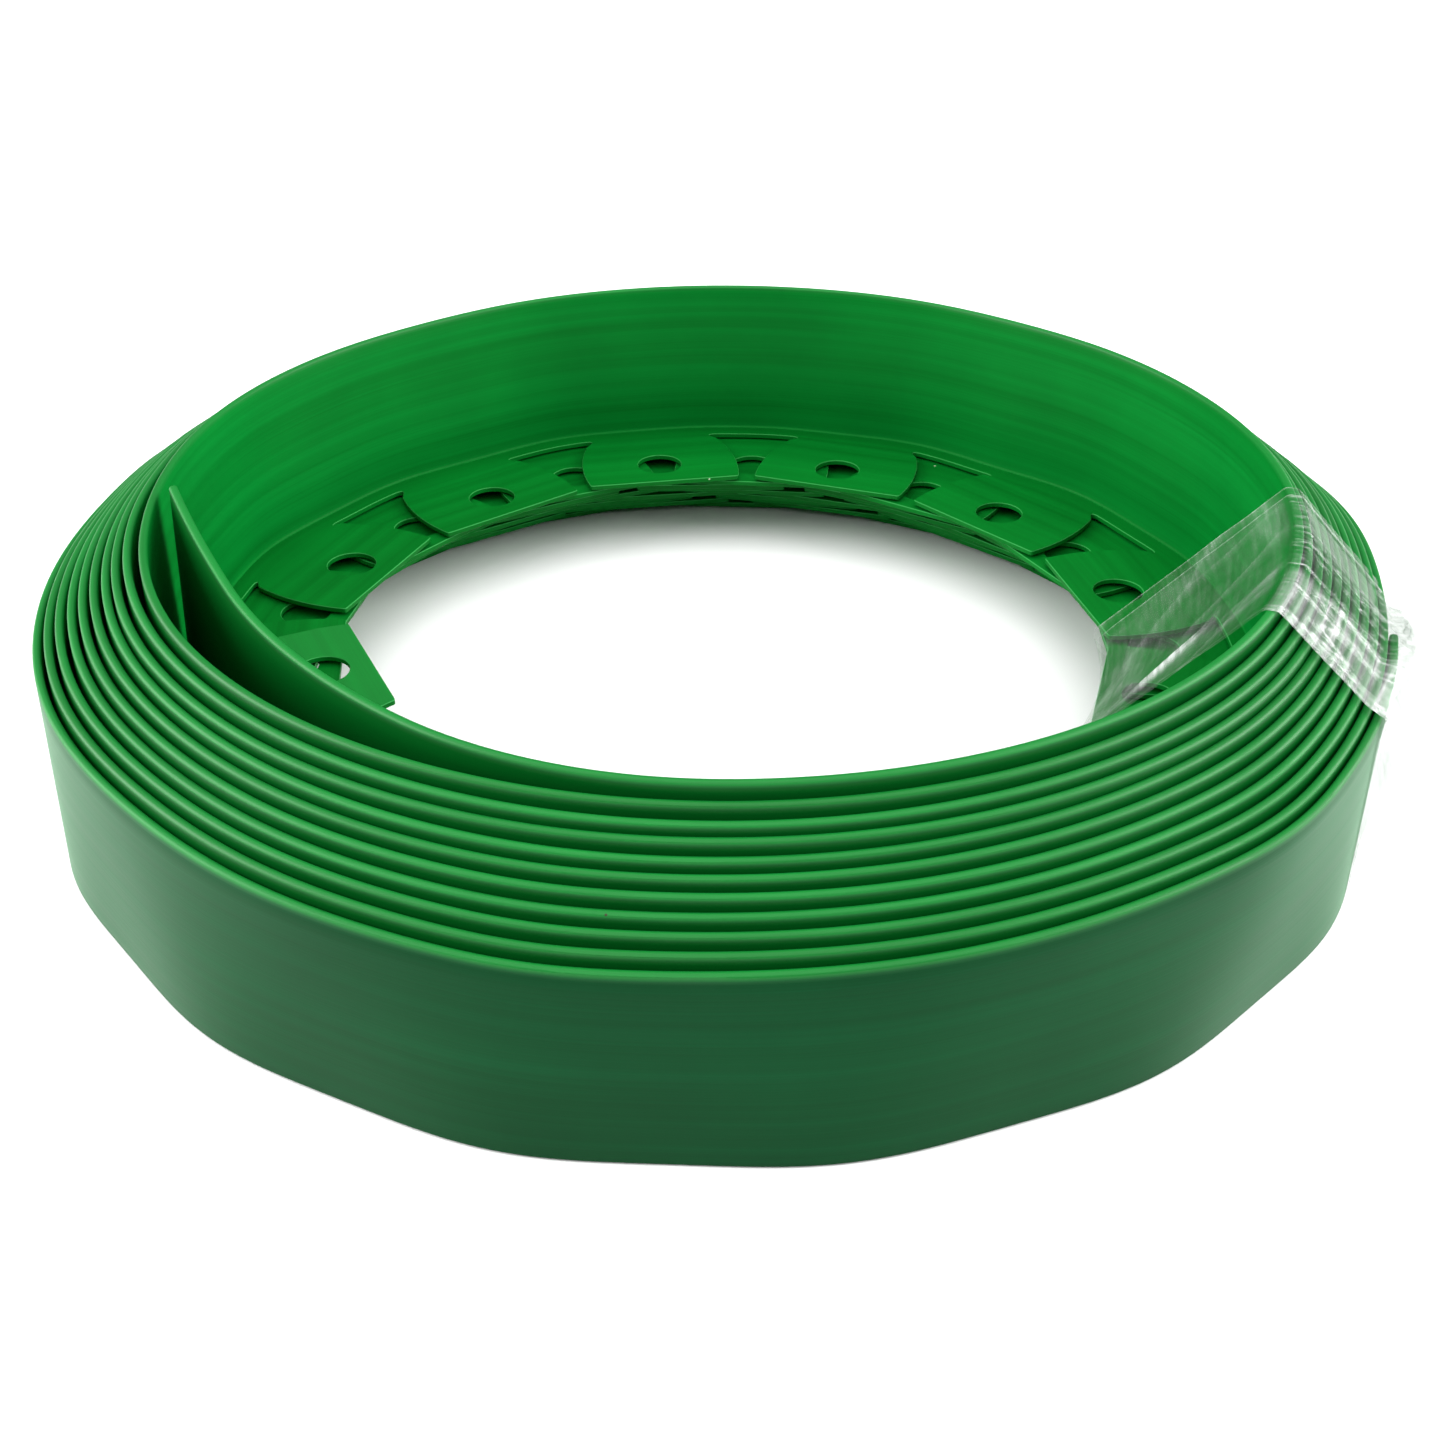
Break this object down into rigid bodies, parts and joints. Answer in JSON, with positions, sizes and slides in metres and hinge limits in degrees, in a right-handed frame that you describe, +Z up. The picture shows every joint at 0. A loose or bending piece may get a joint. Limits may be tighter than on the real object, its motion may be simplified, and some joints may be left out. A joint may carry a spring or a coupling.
{
  "type": "coiled lawn edging strip",
  "caption": "Coil of flexible L-shaped plastic lawn edging, with a punched foot for ground pegs, held by a wrap of clear film, its inner end free.",
  "frame": {"origin": "middle of the coil's bounding box, on the ground it lies on", "axes": "+Z up along the coil's axis; the loose inner end bends away from the coil on the -X side, and the film is on the +X side, towards -Y"},
  "size_m": [0.3086, 0.3065, 0.0666],
  "materials": {
    "strip": "satin extruded plastic, fine streaks along its length",
    "film": "clear glossy wrapping film"
  },
  "bodies": {
    "coil": {"coil_turn_01_front_right": "strip", "coil_turn_01_front_left": "strip", "coil_turn_01_back_left": "strip", "coil_turn_01_back_right": "strip", "coil_turn_02_front_right": "strip", "coil_turn_02_front_left": "strip", "coil_turn_02_back_left": "strip", "coil_turn_02_back_right": "strip", "coil_turn_03_front_right": "strip", "coil_turn_03_front_left": "strip", "coil_turn_03_back_left": "strip", "coil_turn_03_back_right": "strip", "coil_turn_04_front_right": "strip", "coil_turn_04_front_left": "strip", "coil_turn_04_back_left": "strip", "coil_turn_04_back_right": "strip", "coil_turn_05_front_right": "strip", "coil_turn_05_front_left": "strip", "coil_turn_05_back_left": "strip", "coil_turn_05_back_right": "strip", "coil_turn_06_front_right": "strip", "coil_turn_06_front_left": "strip", "coil_turn_06_back_left": "strip", "coil_turn_06_back_right": "strip", "coil_turn_07_front_right": "strip", "coil_turn_07_front_left": "strip", "coil_turn_07_back_left": "strip", "coil_turn_07_back_right": "strip", "coil_turn_08_front_right": "strip", "coil_turn_08_front_left": "strip", "coil_turn_08_back_left": "strip", "coil_turn_08_back_right": "strip", "coil_turn_09_front_right": "strip", "coil_turn_09_front_left": "strip", "coil_turn_09_back_left": "strip", "coil_turn_09_back_right": "strip", "coil_turn_10_front_right": "strip", "coil_turn_10_front_left": "strip", "coil_turn_10_back_left": "strip", "coil_turn_10_back_right": "strip", "coil_turn_11_front_right": "strip", "film_outer": "film", "film_top": "film", "film_inner": "film", "film_under": "film", "film_tail": "film"},
    "loose_root": {"loose_end_root": "strip"},
    "loose_middle": {"loose_end_middle": "strip"},
    "loose_tip": {"loose_end_tip": "strip"}
  },
  "joints": [
    {"name": "loose_root_bend", "type": "hinge", "parent": "coil", "child": "loose_root", "pos_m": [0.00222, -0.12642, 0.0441], "axis": [0, 0, -1], "range_deg": [0, 4], "stiffness_Nm_per_rad": 0.44},
    {"name": "loose_middle_bend", "type": "hinge", "parent": "loose_root", "child": "loose_middle", "pos_m": [-0.05721, -0.10595, 0.0441], "axis": [0, 0, -1], "range_deg": [0, 6], "stiffness_Nm_per_rad": 0.44},
    {"name": "loose_tip_bend", "type": "hinge", "parent": "loose_middle", "child": "loose_tip", "pos_m": [-0.09845, -0.05689, 0.0441], "axis": [0, 0, -1], "range_deg": [0, 10], "stiffness_Nm_per_rad": 0.44}
  ],
  "couplings": [
    {"joint": "loose_middle_bend", "follows": "loose_root_bend", "ratio": 1.5},
    {"joint": "loose_tip_bend", "follows": "loose_root_bend", "ratio": 2.5}
  ]
}
